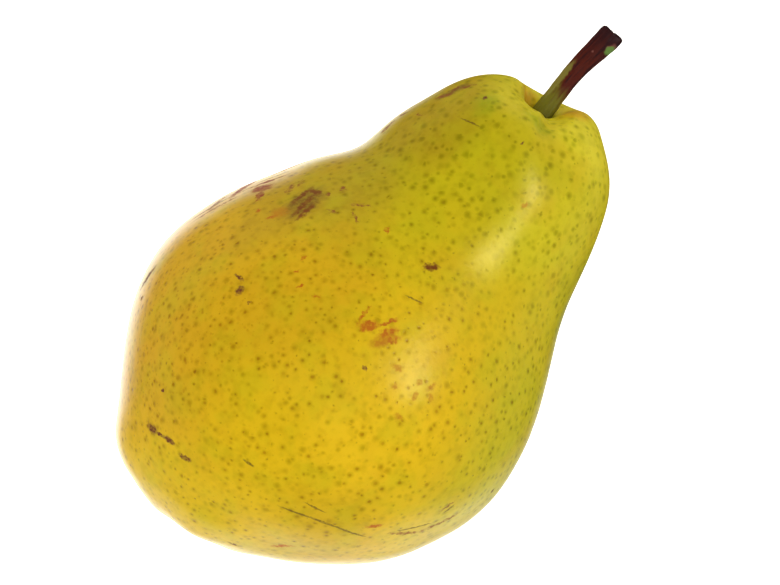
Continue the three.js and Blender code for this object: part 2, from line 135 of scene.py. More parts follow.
# Marks on the skin by kind. Each row: side that it is seen from, two places across that view and
# length and width on the skin in mm, and slant in degrees from the pear's length.
MARKS = {
    # Painted sheen: a pale band along the upper left rim.
    "painted_rim_sheen": [
        ("left", 3.0, 41.0, 30.0, 5.6, 4),
    ],
    # Painted shade: darker orange on the inner walls of the stem's hollow.
    "painted_hollow_shade": [
        ("above", 52.2, 8.4, 5.0, 4.0, -50),
        ("above", 56.4, 0.4, 6.0, 4.5, -60),
    ],
    "green": [
        ("above", 47.0, 12.6, 4.4, 3.6, 0),
        ("above", 50.6, 3.2, 3.0, 6.0, 0),
    ],
    "shade": [
        ("above", 52.2, 3.8, 4.4, 1.0, -84),
    ],
    "stain": [
        ("above", 11.4, 23.7, 7.6, 4.2, -4),
        ("above", 44.4, 18.3, 5.0, 1.8, -19),
        ("left", -24.0, 24.0, 6.0, 3.4, 15),
        ("under", 16.0, 8.0, 6.0, 3.0, 35),
    ],
    "streak": [
        ("above", 11.7, 27.2, 3.0, 0.9, 8),
        ("above", 13.6, 26.6, 2.2, 0.6, 8),
        ("left", 9.0, 42.0, 8.0, 0.7, -4),
        ("left", 0.0, 44.0, 7.0, 0.8, 3),
        ("above", 0.6, 34.8, 4.0, 1.2, -5),
        ("above", 15.5, 21.7, 1.0, 0.8, 0),
        ("above", 18.0, 20.4, 1.4, 0.9, 60),
        ("above", 13.8, 19.1, 1.4, 0.8, -70),
        ("above", 18.2, 16.1, 3.0, 0.6, -50),
        ("above", 15.9, 15.4, 2.2, 0.5, 70),
        ("above", 42.4, 19.0, 3.2, 1.0, -30),
        ("above", 44.6, 18.4, 2.0, 0.6, -10),
        ("above", 46.6, 17.1, 2.6, 0.9, -30),
        ("above", 35.1, 21.9, 2.2, 0.6, -20),
        ("above", 36.9, 19.8, 1.8, 0.4, -60),
        ("above", 31.4, 22.4, 2.8, 1.4, 0),
        ("above", -18.5, -29.9, 5.0, 0.7, -44),
        ("above", -12.9, -33.2, 6.5, 0.8, -22),
        ("above", -9.6, -32.2, 2.6, 0.5, -11),
        ("left", 12.0, 28.0, 7.0, 1.2, -10),
        ("right", 34.0, 34.0, 2.4, 0.7, 50),
    ],
    "red": [
        ("above", 4.9, 28.6, 1.2, 0.7, 30),
        ("above", 5.8, 25.9, 2.0, 0.5, -35),
        ("above", 18.2, 9.7, 1.0, 0.8, 0),
        ("above", 4.4, 16.9, 1.0, 0.7, 0),
        ("above", 1.8, 16.2, 1.0, 0.3, -30),
        ("above", 0.4, 13.8, 0.9, 0.6, -20),
        ("above", 1.0, 10.6, 1.1, 0.6, -50),
        ("above", 3.7, 0.2, 3.0, 1.5, -40),
        ("above", 4.6, 2.2, 3.2, 0.5, 10),
        ("above", 6.4, -1.8, 3.4, 0.6, -25),
        ("above", 5.2, -3.2, 3.2, 1.3, -28),
        ("above", 4.4, -4.2, 3.4, 1.2, -30),
        ("above", -21.3, -25.2, 2.2, 0.9, -40),
        ("above", -35.1, -16.0, 3.2, 0.8, -45),
        ("left", 26.0, 30.0, 2.2, 0.9, 40),
        ("right", -10.0, 28.0, 3.4, 1.3, 30),
        ("under", -16.0, -12.0, 2.8, 1.2, -20),
    ],
    "fleck": [
        ("above", 7.2, 25.6, 2.6, 2.2, -35),
        ("above", 38.4, -4.9, 1.1, 0.7, -20),
        ("above", 3.0, -3.2, 3.0, 1.6, -30),
        ("above", 1.9, -8.7, 1.6, 0.9, -70),
        ("above", 2.8, -13.3, 1.0, 0.8, 0),
        ("above", 0.4, -14.4, 1.6, 0.8, 10),
        ("above", 3.7, -15.4, 1.6, 0.7, -10),
        ("above", 2.2, -16.6, 1.2, 0.7, 40),
        ("above", -0.8, -10.6, 0.9, 0.7, 0),
        ("above", -4.3, -14.9, 1.4, 0.9, -70),
    ],
    "scar": [
        ("above", 8.1, 30.9, 2.6, 3.6, 0),
        ("above", 6.9, 30.2, 3.0, 1.1, 20),
        ("above", 9.6, 31.0, 2.6, 1.1, -30),
        ("above", 5.9, 33.3, 7.0, 1.6, -12),
        ("above", 14.0, 29.9, 6.0, 1.0, -22),
    ],
    "spot": [
        ("above", 18.9, -0.5, 2.5, 1.2, -45),
    ],
    "scratch": [
        ("left", -1.0, 42.0, 7.0, 0.5, 4),
        ("left", 11.0, 40.0, 5.0, 0.4, -6),
        ("above", 42.3, 12.4, 3.2, 0.3, -70),
        ("above", 12.7, -2.3, 2.6, 0.3, -70),
        ("above", -28.7, -1.4, 1.8, 0.5, -80),
        ("above", -29.0, -14.0, 5.5, 0.35, -66),
        ("above", -27.0, -18.4, 6.0, 0.45, -66),
        ("above", -25.1, -22.7, 6.0, 0.4, -66),
        ("above", -26.2, -15.4, 3.4, 0.3, -72),
        ("above", -16.4, -30.6, 6.0, 0.35, -33),
        ("above", -9.8, -32.7, 2.0, 0.4, -10),
        ("left", 6.0, 20.0, 6.0, 0.3, 25),
        ("right", 14.0, 26.0, 9.0, 0.35, -20),
        ("under", -6.0, 16.0, 7.0, 0.35, 70),
    ],
    "dark": [
        ("above", 47.2, 13.5, 0.9, 0.7, 0),
        ("above", 46.1, 3.1, 0.6, 0.5, 0),
        ("above", -6.1, 22.8, 1.7, 0.6, -80),
        ("above", -7.7, 21.1, 1.5, 1.2, 0),
        ("above", -8.1, 18.5, 0.6, 0.5, 0),
        ("above", -2.2, -4.5, 0.8, 0.6, -60),
        ("above", -36.2, 15.1, 2.4, 1.3, -80),
        ("above", -36.0, 13.4, 2.0, 0.5, -75),
        ("above", -35.6, 11.7, 2.4, 0.9, -80),
        ("above", -35.9, 7.4, 2.2, 0.8, -70),
        ("above", -41.0, -9.4, 1.8, 0.5, -70),
        ("above", -17.4, 34.5, 4.4, 1.1, 12),
        ("above", -20.8, 32.7, 0.8, 0.6, 0),
        ("above", -30.0, 18.6, 0.7, 0.5, 0),
        ("above", -2.0, -36.0, 0.8, 0.6, 0),
        ("right", -26.0, 36.0, 1.2, 0.9, 0),
        ("under", 30.0, -6.0, 1.2, 0.9, 0),
    ],
    "scab": [
        ("above", 12.3, 24.9, 4.6, 0.8, -6),
        ("above", 11.2, 23.5, 5.4, 0.7, -2),
        ("above", 10.4, 22.4, 4.4, 0.8, -4),
        ("above", 14.2, 23.7, 1.2, 2.6, -10),
        ("left", -23.0, 25.0, 4.0, 1.2, 15),
        ("left", -25.5, 23.4, 3.0, 0.9, 25),
        ("under", 16.5, 8.5, 3.6, 1.2, 35),
    ],
}

# How each kind of mark looks: colour, roughness, how ragged its edge is in mm, how soft its edge
# is, its strength, and the share of it that is eaten away.
KINDS = {
    # Painted sheen: pale, soft and faint.
    "painted_rim_sheen": ("#EEC690", 0.5, 2.0, 1.7, 0.45, 0.6),
    # Painted shade in the stem's hollow.
    "painted_hollow_shade": ("#E09A08", 0.4, 1.2, 1.4, 0.65, 0.3),
    "green": ("#869A08", 0.35, 1.2, 1.5, 0.5, 0.3),
    "shade": ("#5C5A10", 0.4, 0.4, 1.4, 0.6, 0.2),
    "stain": ("#7E5C14", 0.55, 1.0, 0.9, 0.9, 0.4),
    "streak": ("#8A4620", 0.6, 0.8, 0.7, 0.85, 0.7),
    "red": ("#B64E08", 0.55, 0.9, 0.8, 0.85, 0.45),
    "fleck": ("#BC7608", 0.45, 0.6, 1.1, 0.75, 0.4),
    "scar": ("#92381A", 0.6, 1.1, 0.7, 0.95, 0.3),
    "spot": ("#6E2A08", 0.6, 0.9, 0.6, 0.95, 0.35),
    "scratch": ("#6E5414", 0.6, 0.25, 0.7, 0.85, 0.4),
    "dark": ("#6A3020", 0.6, 0.6, 0.8, 0.95, 0.35),
    "scab": ("#7A3412", 0.65, 1.0, 1.0, 0.82, 0.3),
}
MARK_DEPTH = 3.0  # mm that a mark reaches into the skin, so that its curve doesn't cut it off
MARK_SPREAD = 0.6  # from a mark's length to the half length inside which its edge lies
MARK_GAPS = (0.42, 0.62)  # noise levels between which a mark is eaten away
EDGE_WAVE = 0.8  # width of the waves in a mark's edge, as a share of how ragged it is
GAP_WAVE = 0.9  # width of its eaten places, likewise
FINEST_WAVE = 0.5  # mm, the narrowest such waves
SIDE_DISTANCE = 0.3  # m, from where the marks on the sides are placed

# The wax and the flesh under it.
PEEL = (0.9, 0.03)  # mm, width and height of the fine pores of the wax
CORE_DEPTH = 0.03  # mm that the cork of a dot is sunk
WAX_IOR = 1.36
FLESH_SHARE = 0.1  # share of the light that goes into the flesh
FLESH_COLOURS = (1.0, 0.7, 0.1)  # how far red, green and blue light goes there
FLESH_REACH = 1.5  # mm

# ---- Stem and calyx: places and finish ----

STEM_SLICES = 14  # slices in which the bent stem is straightened
STEM_END_POINTS = 40  # points at each end whose mean is the end's middle
TIP_LENGTH = 3.0  # mm of the stem that is lumpy and torn
WORN_SHARE = 0.75  # share of what stands out at the torn end that is worn away
STEM_RIDGES = ((5, 0.6, 0.6), (9, -1.1, 0.4))  # ridges round the stem, their turn and their share
LUMP_WIDTH = 1.3  # mm
LUMP_HEIGHTS = (0.05, 0.25)  # mm, along the stem and what the tip adds

STREAK_WIDTH = 0.6  # mm
STREAK_SQUEEZE = 0.12  # how much the streaks are drawn out along the stem
STREAK_REACH = 9  # mm that the streaks move the edges of the colours along the stem
TIP_FADE = (22, 30)  # mm from the stem's root
FOOT_FADE = (17.5, 13)  # mm from the stem's root
STREAK_FADE = (0.5, 0.72)  # noise levels
BARK_ROUGHNESS = 0.5
BARK_IOR = 1.25
BARK_RELIEF = 0.25  # mm

# Patches on the stem in its straightened place: mm up from its middle line, mm to the right and
# mm from its root, half sizes in mm, colour, strength and how ragged in mm.
STEM_PATCHES = [
    ((1.2, -1.4, 13.0), (1.3, 0.9, 5.2), "strip", 0.7, 0.5),
    ((1.2, 1.5, 22.9), (1.5, 1.0, 1.25), "torn", 0.8, 0.4),
    ((1.2, 1.6, 22.6), (1.5, 0.95, 1.25), "nick", 0.9, 0.45),
    ((1.9, -0.3, 20.6), (0.6, 0.25, 0.3), "torn", 0.8, 0.1),
    ((1.3, 1.3, 26.2), (1.3, 0.5, 0.9), "torn", 0.8, 0.5),
    ((0.8, -0.4, 26.4), (1.2, 0.6, 0.5), "torn", 0.55, 0.5),
]
PATCH_WAVE = 0.7  # mm, the width of the waves in a patch's edge
PATCH_EDGE = 0.4  # share of a patch's radius over which it fades

CRINKLES = ((0.8, 0.12), (0.35, 0.06))  # mm, width and height of the sepals' crinkles
THREAD_SEED = 7
THREAD_RADIUS = 0.11  # mm
THREAD_SIDES = 6
THREAD_DEPTH = 1.0  # mm that the stamens stand behind the sepals' outer end
THREAD_ROOT = 0.3  # share of a stamen's length that is its straight root
THREAD_STEP = 0.24  # share of its length in each bent piece
THREAD_SIZES = (0.85, 0.85, 1.6)  # each bent piece's end against the one before; the last swells
THREAD_BEND = 0.0625  # mm that each piece bends more than the one before, at most
THREAD_SPREAD = (0.1, 0.55)  # radians that the stamens lean apart
SEPAL_FADE = (0.4, 0.7)  # noise levels between the brown and the pale parts
SEPAL_PATCH = 0.9  # mm
SEPAL_RELIEF = 0.2  # mm
SEPAL_ROUGHNESS = 0.85

# ---- Studio: lights ----

# Lamps. Each row: name, way to it from the pear, distance in m, size in m, power in W, and whether
# it lights the pear and whether the wax mirrors it.
LAMPS = [
    ("glint_softbox", (0.61, -0.42, 0.67), 0.7, (0.24, 0.13), 2.9, False, True),
    ("side_softbox", (0.31, -0.64, 0.69), 0.7, (0.3, 0.3), 0.2, True, False),
    ("top_softbox", (-0.1, 0.0, 1.0), 0.9, (0.7, 0.7), 3.0, True, False),
]

# White cards under the floor. Each row: name, middle, length and width in mm, how far it lies under
# the floor in mm, and its light.
CARDS = [
    ("rim_card", (-16, 10), (150, 142), 0.5, 3.0),
    ("base_card", (-84, -66), (226, 250), 1.0, 1.6),
]

CARD_EDGE = 0.4  # share of a card's radius over which its light fades
CARD_SIDES = 48

# The cards are dark under the pear, so that its underside isn't lit from below: the middle, length
# and width of the dark place in mm, and the share of its radius over which it fades.
SHADE_MIDDLE = (-2, 0)
SHADE_SIZE = (108, 76)
SHADE_EDGE = 0.35

BOARD_ROUGHNESS = 0.9
BOARD_GLOSS = 0.1
WHITE = (1, 1, 1, 1)
BLACK = (0, 0, 0, 1)


def linear(code):
    """An sRGB hex colour as the linear colour that the shaders take."""
    levels = [int(code[i : i + 2], 16) / 255 for i in (1, 3, 5)]
    return (*(c / 12.92 if c <= 0.04045 else ((c + 0.055) / 1.055) ** 2.4 for c in levels), 1.0)


# ---- Settings ----


def length(name, description, default):
    return bpy.props.FloatProperty(
        name=name, description=description, default=default, unit="LENGTH", precision=5
    )


def colour(name, description, code):
    return bpy.props.FloatVectorProperty(
        name=name, description=description, default=linear(code), subtype="COLOR", size=4
    )


class SkinSettings(bpy.types.PropertyGroup):
    """Sizes and colours of the skin."""

    smoothing: bpy.props.IntProperty(
        name="Smoothing", description="Times that the skin's faces are divided", default=2
    )
    swell_height: length("Swell height", "Height of the broad uneven swells", 0.16 * MM)
    swell_width: length("Swell width", "Distance between the broad swells", 10 * MM)
    ripple_height: length("Ripple height", "Height of the fine ripples", 0.03 * MM)
    ripple_width: length("Ripple width", "Distance between the fine ripples", 3.2 * MM)
    dot_spacing: length("Dot spacing", "Distance between the breathing dots", 1.5 * MM)
    dot_radius: length("Dot radius", "Radius of a dot's soft edge", 0.95 * MM)
    speck_spacing: length("Speck spacing", "Distance between the fine specks", 1.2 * MM)
    speck_radius: length("Speck radius", "Radius of a fine speck", 0.42 * MM)
    yellow: colour("Yellow", "Ripe skin", "#E2BA14")
    gold: colour("Gold", "Skin turned to the sun", "#C89018")
    leaf: colour("Leaf green", "Skin that is still green", "#B8B410")
    # Olive: the skin's own dull tone on the cheek, the low belly and by the stem, and painted shade
    # on the waist and the neck's left side.
    olive: colour("Olive", "Dull skin round the waist", "#A07C14")
    # A paler yellow, painted as a highlight on top of the belly.
    painted_highlight: colour("Crown", "Ripest skin, on top of the belly", "#F8CA22")
    # Lemon: the thin skin by the stem, and painted sheen on the neck's flank.
    lemon: colour("Lemon", "Thin skin on the shoulders by the stem", "#E8D62E")
    # Deep green: painted shade where the right flank turns down and along the waist's crest.
    deep: colour("Deep green", "Skin that the sun never reached", "#76860A")
    dot_halo: colour("Dot edge", "What the green ring round a dot lets through", "#E0DE88")
    dot_green: colour("Green dot", "What a dot on green skin lets through", "#E8F0A0")
    dot_core: colour("Dot", "What the cork in the middle of a dot lets through", "#DABE68")
    gloss: bpy.props.FloatProperty(
        name="Roughness", description="Roughness of the wax", default=0.32, subtype="FACTOR"
    )
    sheen: colour("Wax", "Tint of the wax's own shine", "#FFEC98")


class StemSettings(bpy.types.PropertyGroup):
    """Sizes and colours of the stem."""

    smoothing: bpy.props.IntProperty(
        name="Smoothing", description="Times that the stem's faces are divided", default=2
    )
    ridge_height: length("Ridge height", "Height of the lengthwise ridges", 0.09 * MM)
    worn_level: length("Worn level", "How far under the tip the torn end is levelled", 0.9 * MM)
    bark: colour("Bark", "Red-brown bark", "#561A0C")
    tip: colour("Tip", "Dried tip", "#341416")
    foot: colour("Foot", "Green foot", "#726E18")
    strip: colour("Strip", "Pale olive strip up the left side", "#8A8430")
    nick: colour("Nick", "Fresh wood where the bark is scraped off", "#63883A")
    torn: colour("Torn", "Fibres of the torn end", "#7E4A40")


class CalyxSettings(bpy.types.PropertyGroup):
    """Sizes and colours of the dried blossom."""

    smoothing: bpy.props.IntProperty(
        name="Smoothing", description="Times that the sepals' faces are divided", default=2
    )
    threads: bpy.props.IntProperty(
        name="Threads", description="Dried stamens between the sepals", default=14
    )
    thread_length: length("Thread length", "Length of a dried stamen", 2.6 * MM)
    dry: colour("Dry", "Dried sepal", "#5B4028")
    pale: colour("Pale", "Downy edge of a sepal", "#9C8156")


class StudioSettings(bpy.types.PropertyGroup):
    """The floor and the light."""

    floor_size: length("Floor size", "Side of the floor", 6.0)
    floor_glow: bpy.props.FloatProperty(
        name="Floor glow", description="Light from the floor itself", default=0.95
    )
    sky: bpy.props.FloatProperty(name="Sky", description="Light from all round", default=0.6)
    brightness: bpy.props.FloatProperty(
        name="Lamps", description="Share of their power that the lamps give", default=1.0
    )
    floor_colour: colour("Floor", "Matte white board", "#F4F3F0")


# ---- Tools ----


def in_metres(sizes):
    """Sizes in mm as sizes in metres, which Blender takes."""
    return [size * MM for size in sizes]


def select_only(*objects):
    """Nothing but these objects is selected, and the last is active."""
    bpy.ops.object.select_all(action="DESELECT")
    for item in objects:
        item.select_set(True)
        bpy.context.view_layer.objects.active = item


def add_node(tree, kind, settings, inputs):
    """Adds a node with its settings; an input is a value, or another node's output to link."""
    made = tree.nodes.new(kind)
    for name, value in settings.items():
        setattr(made, name, value)
    for name, value in inputs.items():
        if isinstance(value, bpy.types.NodeSocket):
            tree.links.new(value, made.inputs[name])
        else:
            made.inputs[name].default_value = value
    return made


MIX = {"data_type": "RGBA"}
MIX_SHARE, MIX_UNDER, MIX_OVER, MIX_RESULT = 0, 6, 7, 2
SMOOTH = {"interpolation_type": "SMOOTHSTEP"}


def new_material(name):
    """A material with its node tree and its surface shader."""
    material = bpy.data.materials.new(name)
    material.use_nodes = True
    tree = material.node_tree
    return material, tree, tree.nodes["Principled BSDF"]


def wander(tree, place, width, reach, detail):
    """The place, shifted by soft noise of that width and reach in mm."""
    cloud = add_node(
        tree, "ShaderNodeTexNoise", {},
        {"Vector": place, "Scale": 1 / (width * MM), "Detail": detail},
    )
    centred = add_node(
        tree, "ShaderNodeVectorMath", {"operation": "SUBTRACT"},
        {0: cloud.outputs["Color"], 1: (0.5, 0.5, 0.5)},
    )
    return add_node(
        tree, "ShaderNodeVectorMath", {"operation": "MULTIPLY_ADD"},
        {0: centred.outputs[0], 1: (2 * reach * MM,) * 3, 2: place},
    ).outputs[0]


def clouds(tree, place, width, low, high, most, detail):
    """A share from 0 to `most` that comes and goes softly over that width in mm."""
    cloud = add_node(
        tree, "ShaderNodeTexNoise", {},
        {"Vector": place, "Scale": 1 / (width * MM), "Detail": detail},
    )
    return add_node(
        tree, "ShaderNodeMapRange", SMOOTH,
        {"Value": cloud.outputs["Fac"], "From Min": low, "From Max": high, "To Max": most},
    ).outputs[0]


def nearness(tree, place, middle, half, turn=(0, 0, 0)):
    """1 in the middle of an ellipsoid and 0 from its surface on, with all sizes in metres."""
    local = add_node(
        tree, "ShaderNodeMapping", {"vector_type": "TEXTURE"},
        {"Vector": place, "Location": middle, "Rotation": turn, "Scale": half},
    )
    return add_node(
        tree, "ShaderNodeTexGradient", {"gradient_type": "SPHERICAL"}, {0: local.outputs[0]}
    ).outputs["Fac"]


def soft_patch(tree, place, middle, half, edge, inside, outside=0.0):
    """`inside` in the middle of an ellipsoid and `outside` off it, with its sizes in mm.

    The one fades into the other over that share of the ellipsoid's radius."""
    near = nearness(tree, place, in_metres(middle), in_metres(half))
    return add_node(
        tree, "ShaderNodeMapRange", SMOOTH,
        {"Value": near, "From Max": edge, "To Min": outside, "To Max": inside},
    ).outputs[0]


def merged_copy(node, name, smoothing):
    """A welded copy of a CAD node in four-sided faces, divided and smooth."""
    piece = bpy.data.objects.new(name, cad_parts[node].data.copy())
    bpy.context.scene.collection.objects.link(piece)
    piece.data.materials.clear()
    select_only(piece)
    bpy.ops.mesh.customdata_custom_splitnormals_clear()
    bpy.ops.object.mode_set(mode="EDIT")
    bpy.ops.mesh.select_all(action="SELECT")
    bpy.ops.mesh.remove_doubles(threshold=0.001 * MM)
    bpy.ops.mesh.tris_convert_to_quads()
    bpy.ops.object.mode_set(mode="OBJECT")
    bpy.ops.object.shade_smooth()
    divide = piece.modifiers.new("Divide", "SUBSURF")
    divide.levels = divide.render_levels = smoothing
    bpy.ops.object.modifier_apply(modifier=divide.name)
    return piece


def points_of(piece):
    """The vertices and their normals, as two tables."""
    count = len(piece.data.vertices)
    points, normals = np.empty(count * 3), np.empty(count * 3)
    piece.data.vertices.foreach_get("co", points)
    piece.data.vertices.foreach_get("normal", normals)
    return points.reshape(-1, 3), normals.reshape(-1, 3)


def move_points(piece, points):
    piece.data.vertices.foreach_set("co", points.ravel())
    piece.data.update()


def finish_piece(piece, node, material):
    """The piece stands for its node, rides on its body and takes its material."""
    piece.data.materials.append(material)
    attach(piece, SIDE_BODY)
    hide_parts(node)


# ---- Skin ----


def skin_shape(settings):
    """The fruit's skin with the uneven swells that a grown fruit has."""
    skin = merged_copy("fruit", "pear_skin", settings.smoothing)
    points, normals = points_of(skin)
    for i, point in enumerate(points):
        place = Vector(point)
        rise = settings.swell_height * noise.noise(place / settings.swell_width)
        rise += settings.ripple_height * noise.noise(place / settings.ripple_width)
        points[i] += normals[i] * rise
    # The hollow's near lip is creased where the stem leaves it.
    away = np.hypot(*((points[:, :2] - CREASE_PLACE) / CREASE_REACH).T)
    onset = np.clip((points[:, 2] / CREASE_FLOOR - 1) / CREASE_ONSET, 0, 1)
    share = np.clip(1 - away, 0, 1) * onset
    points += (share**2 * (3 - 2 * share))[:, None] * CREASE_SHIFT
    points[:, 2] = np.maximum(points[:, 2], 0)
    move_points(skin, points)
    return skin


# The sides that the marks are placed from: the two ways across the view and the way to the eye.
VIEWS = {
    "above": (Vector((1, 0, 0)), Vector((0, 1, 0)), Vector((0, 0, 1))),
    "under": (Vector((1, 0, 0)), Vector((0, 1, 0)), Vector((0, 0, -1))),
    "left": (Vector((1, 0, 0)), Vector((0, 0, 1)), Vector((0, 1, 0))),
    "right": (Vector((1, 0, 0)), Vector((0, 0, 1)), Vector((0, -1, 0))),
}


def place_on_skin(tree, side, first, second, slant):
    """Where a mark lies on the skin, as a point and the turn that lays it flat there."""
    along, across, view = VIEWS[side]
    target = (along * first + across * second) * MM
    start = target + view * SIDE_DISTANCE
    if side == "above":
        target.z = OUTLINE_LEVEL * MM
        start = EYE
    point, normal, _, _ = tree.ray_cast(start, (target - start).normalized())
    if point is None:
        raise RuntimeError(f"a mark at {first}, {second} seen from {side} misses the skin")
    turn = math.radians(slant)
    length_way = along * math.cos(turn) + across * math.sin(turn)
    # The length keeps its slant as seen along the view, and lies in the skin.
    length_way -= view * (length_way.dot(normal) / view.dot(normal))
    length_way.normalize()
    axes = Matrix((length_way, normal.cross(length_way), normal)).transposed()
    return point, axes.to_euler()


def dots(tree, place, normal, spacing, radius):
    """How far each place is from the nearest dot, in dot radii along the skin, and three random
    shares for that dot. A dot is kept where its cell's middle is near the skin."""
    cells = add_node(
        tree, "ShaderNodeTexVoronoi", {"feature": "F1"},
        {"Vector": place, "Scale": 1 / spacing, "Randomness": DOT_SCATTER},
    ).outputs
    away = add_node(
        tree, "ShaderNodeVectorMath", {"operation": "SUBTRACT"}, {0: place, 1: cells["Position"]}
    ).outputs[0]
    depth = add_node(
        tree, "ShaderNodeVectorMath", {"operation": "DOT_PRODUCT"}, {0: away, 1: normal}
    ).outputs["Value"]
    sunk = add_node(
        tree, "ShaderNodeVectorMath", {"operation": "SCALE"}, {0: normal, "Scale": depth}
    ).outputs[0]
    beside = add_node(
        tree, "ShaderNodeVectorMath", {"operation": "DISTANCE"}, {0: away, 1: sunk}
    ).outputs["Value"]
    dice = add_node(tree, "ShaderNodeSeparateColor", {}, {0: cells["Color"]}).outputs
    size = add_node(
        tree, "ShaderNodeMapRange", {},
        {"Value": dice[0], "To Min": DOT_SIZES[0] * radius, "To Max": DOT_SIZES[1] * radius},
    ).outputs[0]
    off_skin = add_node(tree, "ShaderNodeMath", {"operation": "ABSOLUTE"}, {0: depth}).outputs[0]
    reach = add_node(
        tree, "ShaderNodeMapRange", SMOOTH,
        {"Value": off_skin, "From Min": DOT_DEPTHS[0] * spacing,
         "From Max": DOT_DEPTHS[1] * spacing, "To Min": size, "To Max": DOT_GONE * radius},
    ).outputs[0]
    ratio = add_node(
        tree, "ShaderNodeMath", {"operation": "DIVIDE"}, {0: beside, 1: reach}
    ).outputs[0]
    return ratio, dice


def mark_share(tree, place, tree_of_skin, marks, ragged, soft, strength, eaten):
    """How strongly the marks of one kind cover each place on the skin."""
    moved = wander(tree, place, max(FINEST_WAVE, EDGE_WAVE * ragged), ragged, 4)
    grown = MARK_SPREAD * (1 + soft / 2)  # to the outside of the soft edge
    deepest = None
    for side, first, second, long, wide, slant in marks:
        point, turn = place_on_skin(tree_of_skin, side, first, second, slant)
        half = in_metres((long * grown, wide * grown, MARK_DEPTH))
        inside = nearness(tree, moved, point, half, turn)
        if deepest is None:
            deepest = inside
        else:
            deepest = add_node(
                tree, "ShaderNodeMath", {"operation": "MAXIMUM"}, {0: deepest, 1: inside}
            ).outputs[0]
    width = max(FINEST_WAVE, GAP_WAVE * ragged)
    gaps = clouds(tree, place, width, *MARK_GAPS, strength * eaten, 3)
    left = add_node(
        tree, "ShaderNodeMath", {"operation": "SUBTRACT"}, {0: strength, 1: gaps}
    ).outputs[0]
    return add_node(
        tree, "ShaderNodeMapRange", SMOOTH,
        {"Value": deepest, "From Max": soft / (1 + soft / 2), "To Max": left},
    ).outputs[0]


